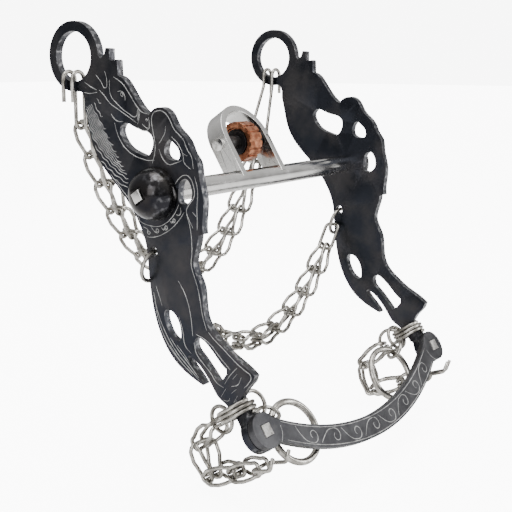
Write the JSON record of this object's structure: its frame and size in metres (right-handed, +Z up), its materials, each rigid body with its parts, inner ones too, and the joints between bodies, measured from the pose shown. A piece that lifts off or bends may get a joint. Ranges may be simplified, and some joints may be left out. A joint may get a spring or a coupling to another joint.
{
  "type": "curb bit",
  "caption": "Western show curb bit with rearing-horse shanks, low port with copper roller, slobber bar, curb chain, lower chain and rein chains.",
  "frame": {"origin": "middle of the mouth bar's axis, half way between the two shanks", "axes": "+X along the mouth bar to the right shank, -Y to the front (away from the curb chain), +Z up as the bit hangs"},
  "size_m": [0.155, 0.115, 0.1702],
  "materials": {
    "gunmetal": "glossy blackened steel",
    "engraved_bar": "satin blackened steel, engraved",
    "bright_steel": "polished steel",
    "chain_wire": "stainless wire, satin",
    "copper": "copper, lightly worn",
    "dark_spacer": "dark oxide",
    "rivet": "peened steel"
  },
  "bodies": {
    "bit": {"left_shank": "gunmetal", "right_shank": "gunmetal", "mouth_bar": "bright_steel", "left_concho": "gunmetal", "right_concho": "gunmetal", "port_arch": "bright_steel", "roller_axle": "bright_steel", "left_roller_spacer": "dark_spacer", "right_roller_spacer": "dark_spacer", "slobber_bar": "engraved_bar", "left_slobber_rivet": "rivet", "right_slobber_rivet": "rivet", "left_split_ring": "chain_wire", "right_split_ring": "chain_wire"},
    "roller": {"roller": "copper"},
    "curb_chain": {"left_curb_hook": "chain_wire", "curb_chain_links": "chain_wire", "right_curb_hook": "chain_wire"},
    "lower_chain": {"left_lower_ring": "chain_wire", "right_lower_ring": "chain_wire", "lower_chain_links": "chain_wire", "lower_chain_connector": "chain_wire"},
    "left_rein_chain": {"left_rein_jump_ring": "chain_wire", "left_rein_links": "chain_wire", "left_rein_hook": "chain_wire"},
    "left_rein_ring": {"left_rein_ring_carrier": "chain_wire", "left_rein_ring_coupler": "chain_wire", "left_rein_ring": "chain_wire"},
    "right_rein_chain": {"right_rein_jump_ring": "chain_wire", "right_rein_links": "chain_wire", "right_rein_hook": "chain_wire"},
    "right_rein_ring": {"right_rein_ring_carrier": "chain_wire", "right_rein_ring_coupler": "chain_wire", "right_rein_ring": "chain_wire"}
  },
  "joints": [
    {"name": "roller_spin", "type": "hinge", "parent": "bit", "child": "roller", "pos_m": [-0.004, 0.00916, 0.01432], "axis": [1, 0, 0], "continuous": true},
    {"name": "curb_chain_swing", "type": "hinge", "parent": "bit", "child": "curb_chain", "pos_m": [0, 0.04112, 0.04908], "axis": [1, 0, 0], "range_deg": [-22, 40]},
    {"name": "lower_chain_swing", "type": "hinge", "parent": "bit", "child": "lower_chain", "pos_m": [0, 0.00219, -0.02182], "axis": [1, 0, 0], "range_deg": [0, 40]},
    {"name": "left_rein_chain_swing", "type": "hinge", "parent": "bit", "child": "left_rein_chain", "pos_m": [-0.06452, -0.03007, -0.07964], "axis": [-0.9962, 0.0734, -0.047], "range_deg": [-6, 6]},
    {"name": "left_rein_ring_swing", "type": "hinge", "parent": "bit", "child": "left_rein_ring", "pos_m": [-0.05853, -0.0361, -0.07579], "axis": [0.0872, 0.8392, -0.5367], "range_deg": [-3, 3]},
    {"name": "right_rein_chain_swing", "type": "hinge", "parent": "bit", "child": "right_rein_chain", "pos_m": [0.06263, -0.03046, -0.0794], "axis": [-0.9272, -0.3156, 0.2018], "range_deg": [-6, 6]},
    {"name": "right_rein_ring_swing", "type": "hinge", "parent": "bit", "child": "right_rein_ring", "pos_m": [0.05856, -0.03484, -0.0766], "axis": [-0.1392, -0.8343, 0.5335], "range_deg": [-3, 3]}
  ]
}
